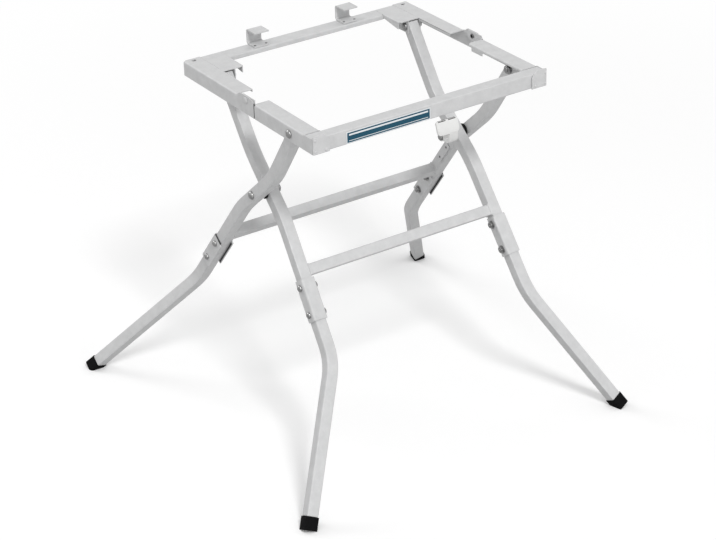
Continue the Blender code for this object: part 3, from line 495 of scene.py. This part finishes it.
def fold(first, first_at, second, second_at, sheet, radius):
    """Tests of a fold's outer and inner edge, with their radii.

    Each outer face is given with the side that the sheet lies on.
    """
    outer_one, side_one = first_at
    outer_two, side_two = second_at
    inner_one = outer_one + side_one * sheet
    inner_two = outer_two + side_two * sheet
    return [
        (lambda co: near(first(co), outer_one) and near(second(co), outer_two), radius),
        (lambda co: near(first(co), inner_one) and near(second(co), inner_two), radius - sheet),
    ]


def out_of(co):
    """Distance of a point from the middle plane."""
    return abs(co.x)


def along(co):
    """Place of a point from front to rear."""
    return co.y


def height_of(co):
    """Height of a point."""
    return co.z


def piece(name, bm, slot, body, edge=CUT_EDGE, finish=None):
    """Shown piece with slightly rounded edges, in a finish, carried by a body."""
    for face in bm.faces:
        face.smooth = True
    mesh = bpy.data.meshes.new(name)
    bm.to_mesh(mesh)
    bm.free()
    item = bpy.data.objects.new(name, mesh)
    bpy.context.scene.collection.objects.link(item)
    item.data.materials.append(FINISH[finish or slot])
    rounding = item.modifiers.new("edges", "BEVEL")
    rounding.limit_method = "ANGLE"
    rounding.angle_limit = EDGE_ANGLE
    rounding.width = edge
    rounding.segments = EDGE_SEGMENTS
    item.modifiers.new("shading", "WEIGHTED_NORMAL").keep_sharp = True
    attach(item, body)


def shown(node, bm, edge=CUT_EDGE, finish=None):
    """Shown piece that stands for a node of the frame."""
    piece(node + "_fine", bm, SLOT_OF[node], BODY_OF[node], edge, finish)
    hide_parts(node)


def dressed(node, folds=(), edge=CUT_EDGE, finish=None):
    """Finer copy of a node that stands for it, with its folds rounded."""
    shown(node, folded(cleaned(node), folds), edge, finish)


def extent(node, direction):
    """Lowest and highest reach of a node along a direction."""
    reach = [vert.co.dot(direction) for vert in NODES[node].data.vertices]
    return min(reach), max(reach)


def span(node, axis):
    """Frame at the low end of a node's middle line along an axis, and the node's length."""
    across = axis.orthogonal().normalized()
    up = axis.cross(across)
    low, high = extent(node, axis)
    place = axis * low + across * (sum(extent(node, across)) / 2) + up * (sum(extent(node, up)) / 2)
    return aimed(place, axis), high - low


def middle(node):
    """Middle of a node's box."""
    low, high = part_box(node)
    return (low + high) / 2


# Top frame: places

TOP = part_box("front_rail")[1].z
RAIL_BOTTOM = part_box("front_rail")[0].z
RAIL_REAR = extent("front_rail", Y_AXIS)[1]
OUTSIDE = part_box("side_arm_right")[1].x
WALL_INSIDE = OUTSIDE - SHEET
FLANGE_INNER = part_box("side_arm_right")[0].x
ARM_FRONT, REAR = extent("side_arm_right", Y_AXIS)
CHANNEL_REAR = extent("front_channel_right", Y_AXIS)[1]
REAR_RAIL_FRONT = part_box("rear_rail")[0].y
CORNER_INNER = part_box("corner_plate_right")[0].x
CORNER_OUTER = FLANGE_INNER - SEAT_GAP
STRIP_FRONT = REAR - STRIP_LENGTH
CAP_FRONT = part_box("corner_cap_right")[0].y
LEVEL_TOP = (TOP, -1)

# Top frame: sheet pieces

outer_fold = fold(out_of, (OUTSIDE, -1), height_of, LEVEL_TOP, SHEET, SHEET_FOLD)
flange_fold = fold(out_of, (FLANGE_INNER, 1), height_of, LEVEL_TOP, SHEET, SHEET_FOLD)
rear_fold = fold(along, (REAR, -1), height_of, LEVEL_TOP, SHEET, SHEET_FOLD)
rail_fold = fold(along, (REAR_RAIL_FRONT, 1), height_of, LEVEL_TOP, SHEET, SHEET_FOLD)
corner_fold = fold(out_of, (CORNER_INNER, 1), height_of, LEVEL_TOP, SHEET, SHEET_FOLD)

dressed("rear_rail", rear_fold + rail_fold)
dressed("front_rail", edge=TUBE_EDGE)
for word, side in SIDES:
    ear_wall, long_wall = parted(cleaned("side_arm_" + word), Y_AXIS, STRIP_FRONT + CUT_SHIFT)
    shown("side_arm_" + word, joined([ear_wall, folded(long_wall, outer_fold)]))

    rail_wall, channel = parted(cleaned("front_channel_" + word), Y_AXIS, RAIL_REAR + SEAT_GAP + CUT_SHIFT)
    shown("front_channel_" + word, joined([rail_wall, folded(channel, outer_fold + flange_fold)]))

    plate, tongue = parted(cleaned("corner_plate_" + word), X_AXIS * side, CORNER_OUTER - CUT_SHIFT)
    plate_front, plate_rear = parted(plate, Y_AXIS, REAR_RAIL_FRONT - CUT_SHIFT)
    shown(
        "corner_plate_" + word,
        joined([tongue, folded(plate_front, corner_fold), folded(plate_rear, rear_fold)]),
    )

    dressed("hinge_ear_" + word)
    cap_edge = [(lambda co: near(abs(co.x), OUTSIDE) and near(co.y, CAP_FRONT), CAP_FOLD)]
    dressed("corner_cap_" + word, cap_edge, CAP_EDGE)

    hook = "saw_hook_" + word
    hook_base, hook_crest = extent(hook, Z_AXIS)
    crest_fold = fold(along, (REAR, -1), height_of, (hook_crest, -1), HOOK_SHEET, HOOK_FOLD)
    base_fold = fold(along, (REAR, -1), height_of, (hook_base, 1), HOOK_SHEET, HOOK_FOLD)
    dressed(hook, crest_fold + base_fold)

    clevis = "leg_clevis_" + word
    clevis_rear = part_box(clevis)[1].y
    clevis_folds = []
    for clevis_x, inward in zip(extent(clevis, X_AXIS), (1, -1)):
        clevis_folds += fold(lambda co: co.x, (clevis_x, inward), along, (clevis_rear, -1), SHEET, SHEET_FOLD)
    dressed(clevis, clevis_folds)

# Legs

def leg_frame(pair, word, side):
    """Frame of a sleeve: x outward, y to its open side, z down the leg; and half its length."""
    sleeve = pair + "_sleeve_" + word
    outward = Vector((side, 0.0, math.tan(LEG_SPLAY))).normalized()
    bolt = pair + "_sleeve_bolt_"
    heading = (middle(bolt + "low_" + word) - middle(bolt + "high_" + word)).normalized()
    under = heading.cross(outward)
    under = under if under.z < 0 else -under
    low, high = extent(sleeve, heading)
    place = outward * (sum(extent(sleeve, outward)) / 2) + heading * ((low + high) / 2)
    place += under * (extent(sleeve, under)[0] + SLEEVE_OUTSIDE)
    matrix = Matrix((outward, under, heading)).transposed().to_4x4()
    matrix.translation = place
    return matrix, (high - low) / 2


for pair in PAIRS:
    for word, side in SIDES:
        sleeve = pair + "_sleeve_" + word
        sleeve_frame = leg_frame(pair, word, side)[0].to_3x3()
        outward = sleeve_frame.col[0]
        under = sleeve_frame.col[1]
        top_side = extent(sleeve, under)[0]
        sleeve_folds = []
        for end, inward in zip(extent(sleeve, outward), (1, -1)):
            sleeve_folds += fold(
                outward.dot, (end, inward), under.dot, (top_side, 1), SLEEVE_SHEET, SLEEVE_FOLD
            )
        dressed(sleeve, sleeve_folds)
        dressed(pair + "_leg_upper_" + word, edge=TUBE_EDGE)
        dressed(pair + "_leg_lower_" + word, edge=TUBE_EDGE)
        dressed(pair + "_foot_" + word, edge=FOOT_EDGE)
dressed("outer_crossbar", edge=TUBE_EDGE)
dressed("inner_crossbar", edge=TUBE_EDGE)
dressed("lock_catch")


# Bolts, nuts, rivets and spacers

def bolt_and_nut(node, axis, sizes):
    """Domed bolt with its nut and washer; axis points to the head."""
    shank, head, head_height, flats, nut_height = sizes
    matrix, length = span(node, axis)
    bm = bmesh.new()
    seat = length - head_height
    rod(bm, matrix, shank, 0.0, seat)
    nut(bm, matrix, flats, BOLT_TAIL, BOLT_TAIL + nut_height)
    dome(bm, matrix @ Matrix.Translation((0, 0, seat)), head, head_height)
    shown(node, bm, FINE_EDGE)


def headed_pin(node, axis, sizes):
    """Domed bolt without a nut; axis points to the head."""
    shank, head, head_height = sizes[:3]
    matrix, length = span(node, axis)
    bm = bmesh.new()
    rod(bm, matrix, shank, 0.0, length - head_height)
    dome(bm, matrix @ Matrix.Translation((0, 0, length - head_height)), head, head_height)
    shown(node, bm, FINE_EDGE)


def rivet(node, axis):
    """Pin with a flat bare head at its near end and a domed painted one at its far end."""
    matrix, length = span(node, axis)
    bm = bmesh.new()
    rod(bm, matrix, RIVET_SHANK, 0.0, length - RIVET_HEIGHT)
    rod(bm, matrix, RIVET_TAIL, 0.0, RIVET_HEIGHT)
    shown(node, bm, FINE_EDGE, "dark_zinc")
    cap = bmesh.new()
    dome(cap, matrix @ Matrix.Translation((0, 0, length - RIVET_HEIGHT)), RIVET_HEAD, RIVET_HEIGHT)
    piece(node + "_cap", cap, "powder_coat", BODY_OF[node], FINE_EDGE)


def spacer(node, rim=0.0):
    """Ring with chamfered rims; rim widens it."""
    matrix, length = span(node, X_AXIS)
    low, high = extent(node, Z_AXIS)
    bm = bmesh.new()
    ring(bm, matrix, (high - low) / 2 + rim, length)
    shown(node, bm, FINE_EDGE)


for word, side in SIDES:
    outside = X_AXIS * side
    bolt_and_nut("outer_pivot_bolt_" + word, outside, PIVOT_SIZES)
    bolt_and_nut("inner_pivot_bolt_" + word, -outside, PIVOT_SIZES)
    headed_pin("cross_pivot_bolt_" + word, outside, PIVOT_SIZES)
    rivet("hinge_rivet_" + word, outside)
    spacer("outer_pivot_spacer_" + word)
    spacer("cross_pivot_spacer_" + word, PAD_RIM)
    outward = Vector((side, 0.0, math.tan(LEG_SPLAY))).normalized()
    for pair in PAIRS:
        for level in ("high", "low"):
            bolt_and_nut(pair + "_sleeve_bolt_" + level + "_" + word, outward, SLEEVE_SIZES)
dressed("cross_pivot_stud_right", edge=FINE_EDGE)
dressed("cross_pivot_stud_left", edge=FINE_EDGE)


# Crossbar welds

def bar_welds(pair):
    """Weld beads round both ends of a crossbar."""
    node = pair + "_crossbar"
    bm = bmesh.new()
    for word, side in SIDES:
        frame_of_leg = leg_frame(pair, word, side)[0].to_3x3()
        outward = frame_of_leg.col[0]
        along_bar = Vector((0.0, *frame_of_leg.col[2][1:])).normalized()
        across_bar = X_AXIS.cross(along_bar)
        ends = [vert.co for vert in NODES[node].data.vertices if vert.co.x * side > 0]
        centre = sum(ends, Vector()) / len(ends)
        corners = []
        for a, b in ((1, 1), (1, -1), (-1, -1), (-1, 1)):
            corner = centre + (along_bar * a + across_bar * b) * BAR_HALF
            corner.x -= side * math.tan(LEG_SPLAY) * (corner.z - centre.z)
            corners.append(corner)
        bead(bm, corners, outward)
    piece(pair + "_bar_welds", bm, "powder_coat", BODY_OF[node], FINE_EDGE)


for pair in PAIRS:
    bar_welds(pair)

# Sleeve shade strips: near-black sheets along the insides of the outer sleeves' lips and a block at each
# sleeve's upper end, painted shade of the gaps there

sleeve_shade_strips = bmesh.new()
for word, side in SIDES:
    matrix, half = leg_frame("outer", word, side)
    under = matrix.to_3x3().col[1]
    lip = extent("outer_sleeve_" + word, under)[1] - matrix.translation.dot(under)
    seat = SLEEVE_OUTSIDE - SLEEVE_SHEET
    for face in (-1, 1):
        near_wall, off_wall = sorted((face * (seat - CUT_SHIFT), face * (seat - SHADE_STRIP_THICKNESS)))
        slab(
            sleeve_shade_strips, matrix,
            (near_wall, seat, SHADE_STRIP_END - half),
            (off_wall, lip - SHADE_STRIP_INSET, half - SHADE_STRIP_END),
        )
    # Near-black block at the sleeve's upper end, painted shade of the gap between sleeve and leg
    slab(
        sleeve_shade_strips, matrix,
        (LEG_HALF, -LEG_HALF, -half - END_SHADE_LENGTH),
        (SLEEVE_OUTSIDE - SHADE_STRIP_INSET, LEG_HALF, -half),
    )
piece("sleeve_painted_shade", sleeve_shade_strips, "black_plastic", "outer_legs", FINE_EDGE, "painted_shade_grey")

# Painted shade strips in the hinge gaps, then hems, cap bumps and hook screws

gap_shade_strips = bmesh.new()
hems = bmesh.new()
cap_bumps = bmesh.new()
hook_screws = bmesh.new()
plate_front_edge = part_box("corner_plate_right")[0].y
for word, side in SIDES:
    # Near-black strip in the gap between channel and arm, painted shade of that gap
    slab(
        gap_shade_strips, Matrix.Identity(4),
        (side * (OUTSIDE - STRIP_GAP), CHANNEL_REAR + STRIP_GAP, RAIL_BOTTOM + STRIP_GAP),
        (side * (WALL_INSIDE + STRIP_GAP), ARM_FRONT - STRIP_GAP, TOP - STRIP_GAP),
    )
    slab(
        hems, Matrix.Identity(4),
        (side * FLANGE_INNER, STRIP_FRONT, TOP - HEM_DEPTH),
        (side * (FLANGE_INNER + HEM_THICKNESS), plate_front_edge - STRIP_GAP, TOP - SHEET / 2),
    )
    cap_low, cap_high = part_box("corner_cap_" + word)
    cap_inner, cap_outer = sorted((cap_low.x, cap_high.x), key=abs)
    for share_out, share_down in CAP_BUMPS:
        x = cap_outer + (cap_inner - cap_outer) * share_out
        z = cap_high.z + (cap_low.z - cap_high.z) * share_down
        dome(cap_bumps, aimed(Vector((x, CAP_FRONT, z)), -Y_AXIS), BUMP_RADIUS, BUMP_HEIGHT)
    hook_low, hook_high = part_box("saw_hook_" + word)
    for step in (-1, 1):
        x = (hook_low.x + hook_high.x) / 2 + step * HOOK_SCREW_SPACING / 2
        base_top = hook_low.z + HOOK_SHEET
        y = hook_low.y + HOOK_TOP_REACH + HOOK_SCREW_INSET
        dome(hook_screws, aimed(Vector((x, y, base_top)), Z_AXIS), SCREW_RADIUS, SCREW_HEIGHT)
piece("hinge_gap_painted_shade", gap_shade_strips, "black_plastic", "front_top", FINE_EDGE, "painted_shade_grey")
piece("strip_hems", hems, "powder_coat", "rear_top")
piece("cap_bumps", cap_bumps, "powder_coat", "front_top", FINE_EDGE)
piece("hook_screws", hook_screws, "zinc", "rear_top", FINE_EDGE, "dark_zinc")

# Lock: catch screws, then the lever, with black strips on its top edge that paint the shade of its slots

catch_frame = leg_frame("outer", "right", 1)[0].to_3x3()
catch_screws = bmesh.new()
catch_face = extent("lock_catch", -catch_frame.col[0])[1]
catch_middle = middle("lock_catch")
catch_middle -= catch_frame.col[0] * (catch_face + catch_middle.dot(catch_frame.col[0]))
for step in (-1, 1):
    place = catch_middle + catch_frame.col[2] * (step * CATCH_SCREW_SPACING / 2)
    dome(catch_screws, aimed(place, -catch_frame.col[0]), SCREW_RADIUS, SCREW_HEIGHT)
piece("catch_screws", catch_screws, "zinc", "outer_legs", FINE_EDGE, "dark_zinc")

lever_low, lever_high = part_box("lock_lever")
joints = {joint["name"]: joint for joint in frame["record"]["behaviour"]["joints"]}
lever_joint = joints["lock_lever_turn"]
hub = Vector((lever_low.x + PADDLE_WIDTH / 2 + PADDLE_SHIFT, *lever_joint["pos_m"][1:]))
lever = bmesh.new()
ring(lever, aimed(hub - X_AXIS * (HUB_LENGTH / 2), X_AXIS), HUB_RADIUS, HUB_LENGTH)
arm_rear = -SPACER_HOLE - SEAT_GAP
arm_front = -LEVER_REACH - LEVER_SHEET / 2
arm_outline = [(arm_rear, ARM_HALF), (arm_rear, -ARM_HALF)]
arm_outline += arc((arm_front + LEVER_BEND, LEVER_BEND - ARM_HALF), LEVER_BEND, -90, -180)
arm_outline += [
    (arm_front, PADDLE_LOW),
    (arm_front + LEVER_SHEET, PADDLE_LOW),
    (arm_front + LEVER_HEEL, ARM_HALF),
]
arm_half = HUB_LENGTH / 2
stack(lever, framed(hub, Y_AXIS, Z_AXIS), [(arm_outline, -arm_half), (arm_outline, arm_half)])
paddle_foot = hub + Vector((-PADDLE_SHIFT, -LEVER_REACH, PADDLE_LOW - LEVER_SHEET / 2))
paddle_rise = Vector((0.0, PADDLE_LEAN, PADDLE_HIGH - PADDLE_LOW + LEVER_SHEET / 2))
paddle_half = LEVER_SHEET / 2 * paddle_rise.z / paddle_rise.length
paddle_outline = tablet(PADDLE_WIDTH, paddle_rise.length, PADDLE_LOW_CORNER, PADDLE_TOP_CORNER)
paddle_frame = framed(paddle_foot, X_AXIS, paddle_rise.normalized())
stack(lever, paddle_frame, [(paddle_outline, -paddle_half), (paddle_outline, paddle_half)])
shown("lock_lever", lever, LEVER_EDGE)
# Black strips standing on the lever's top edge, painted shade of its slots
slot_shades = bmesh.new()
for start, end in LEVER_SLOT_SHADES:
    slab(
        slot_shades, Matrix.Identity(4),
        (lever_low.x + start, lever_low.y + SLOT_SHADE_FRONT, lever_high.z - SLOT_SHADE_DEPTH),
        (lever_low.x + end, lever_low.y + SLOT_SHADE_REAR, lever_high.z + SLOT_SHADE_PROUD),
    )
piece("lever_slot_painted_shade", slot_shades, "black_plastic", "lever", FINE_EDGE)

# Label strip: pale plate, blue field and two plain stripes

dressed("label_strip")
label_low, label_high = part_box("label_strip")


def label_layer(name, patches, level, finish):
    """Thin flat patches on the label strip; patches are shares of its width and height."""
    bm = bmesh.new()
    width = label_high.x - label_low.x
    height = label_high.z - label_low.z
    for left, low, right, high in patches:
        slab(
            bm, Matrix.Identity(4),
            (label_low.x + left * width, label_low.y - level * LABEL_PROUD, label_low.z + low * height),
            (label_low.x + right * width, label_low.y + LABEL_PROUD, label_low.z + high * height),
        )
    piece(name, bm, "label", "front_top", LABEL_EDGE, finish)


label_layer("label_field", LABEL_FIELD, 1, "label_blue")
label_layer("label_bars", LABEL_BARS, 2, "label")


# Floor, light and camera

def make_floor():
    """Pale floor that keeps the shadow near the stand and is white further out."""
    bm = bmesh.new()
    bmesh.ops.create_grid(bm, x_segments=1, y_segments=1, size=FLOOR_SIZE / 2)
    mesh = bpy.data.meshes.new("floor")
    bm.to_mesh(mesh)
    bm.free()
    floor = bpy.data.objects.new("floor", mesh)
    bpy.context.scene.collection.objects.link(floor)
    floor.location.z = -FLOOR_DROP
    material, nodes, links, _ = new_material("floor")
    nodes.clear()
    result = nodes.new("ShaderNodeOutputMaterial")
    path = nodes.new("ShaderNodeLightPath")
    bounce = nodes.new("ShaderNodeBsdfDiffuse")
    bounce.inputs["Color"].default_value = (*FLOOR_BOUNCE, 1.0)
    seen = nodes.new("ShaderNodeBsdfDiffuse")
    seen.inputs["Color"].default_value = (*FLOOR_SEEN, 1.0)
    glow = nodes.new("ShaderNodeEmission")
    glow.inputs["Strength"].default_value = FLOOR_GLOW
    bright = nodes.new("ShaderNodeAddShader")
    place = nodes.new("ShaderNodeTexCoord")
    reach = nodes.new("ShaderNodeVectorMath")
    reach.operation = "LENGTH"
    fade = nodes.new("ShaderNodeMapRange")
    fade.interpolation_type = "SMOOTHSTEP"
    fade.inputs["From Min"].default_value = FLOOR_FADE[0]
    fade.inputs["From Max"].default_value = FLOOR_FADE[1]
    white = nodes.new("ShaderNodeEmission")
    white.inputs["Strength"].default_value = 1.0
    spread_out = nodes.new("ShaderNodeMixShader")
    either = nodes.new("ShaderNodeMixShader")
    links.new(place.outputs["Object"], reach.inputs[0])
    links.new(reach.outputs["Value"], fade.inputs["Value"])
    links.new(fade.outputs["Result"], spread_out.inputs["Fac"])
    links.new(bright.outputs["Shader"], spread_out.inputs[1])
    links.new(white.outputs["Emission"], spread_out.inputs[2])
    links.new(seen.outputs["BSDF"], bright.inputs[0])
    links.new(glow.outputs["Emission"], bright.inputs[1])
    links.new(path.outputs["Is Camera Ray"], either.inputs["Fac"])
    links.new(bounce.outputs["BSDF"], either.inputs[1])
    links.new(spread_out.outputs["Shader"], either.inputs[2])
    links.new(either.outputs["Shader"], result.inputs["Surface"])
    floor.data.materials.append(material)


def make_world():
    """Even light from all sides, seen as white by the camera and in reflections."""
    world = bpy.data.worlds.new("studio")
    bpy.context.scene.world = world
    world.use_nodes = True
    nodes = world.node_tree.nodes
    links = world.node_tree.links
    background = nodes["Background"]
    background.inputs["Color"].default_value = (1.0, 1.0, 1.0, 1.0)
    path = nodes.new("ShaderNodeLightPath")
    seen = nodes.new("ShaderNodeMath")
    seen.operation = "MAXIMUM"
    seen_too = nodes.new("ShaderNodeMath")
    seen_too.operation = "MAXIMUM"
    level = nodes.new("ShaderNodeMapRange")
    level.inputs["To Min"].default_value = WORLD_STRENGTH
    level.inputs["To Max"].default_value = 1.0
    links.new(path.outputs["Is Camera Ray"], seen.inputs[0])
    links.new(path.outputs["Is Glossy Ray"], seen.inputs[1])
    links.new(seen.outputs["Value"], seen_too.inputs[0])
    links.new(path.outputs["Is Transmission Ray"], seen_too.inputs[1])
    links.new(seen_too.outputs["Value"], level.inputs["Value"])
    links.new(level.outputs["Result"], background.inputs["Strength"])


def make_lamp(name, direction, distance, size, power):
    """Soft round lamp that shines on the stand from a direction."""
    lamp = bpy.data.lights.new(name, "AREA")
    lamp.shape = "DISK"
    lamp.size = size
    lamp.energy = power
    item = bpy.data.objects.new(name, lamp)
    bpy.context.scene.collection.objects.link(item)
    item.location = direction.normalized() * distance
    item.rotation_mode = "QUATERNION"
    item.rotation_quaternion = (-direction).to_track_quat("-Z", "Y")


def make_camera():
    """Camera at the photograph's place, direction and focal length."""
    lens = bpy.data.cameras.new("camera")
    lens.sensor_width = SENSOR_WIDTH
    lens.lens = FOCAL_PIXELS / IMAGE_WIDTH * SENSOR_WIDTH
    camera = bpy.data.objects.new("camera", lens)
    bpy.context.scene.collection.objects.link(camera)
    level = math.cos(CAMERA_ELEVATION)
    forward = Vector((
        math.sin(CAMERA_AZIMUTH) * level, math.cos(CAMERA_AZIMUTH) * level, -math.sin(CAMERA_ELEVATION)
    ))
    right = forward.cross(Z_AXIS).normalized()
    up = right.cross(forward)
    turned_right = right * math.cos(CAMERA_ROLL) + up * math.sin(CAMERA_ROLL)
    turned_up = up * math.cos(CAMERA_ROLL) - right * math.sin(CAMERA_ROLL)
    camera.matrix_world = framed(CAMERA_PLACE, turned_right, turned_up)
    bpy.context.scene.camera = camera


make_floor()
make_world()
make_lamp("key", KEY_DIRECTION, KEY_DISTANCE, KEY_SIZE, KEY_POWER)
make_lamp("fill", FILL_DIRECTION, FILL_DISTANCE, FILL_SIZE, FILL_POWER)
make_lamp("rim", RIM_DIRECTION, RIM_DISTANCE, RIM_SIZE, RIM_POWER)
make_camera()
bpy.context.scene.view_settings.view_transform = "Standard"
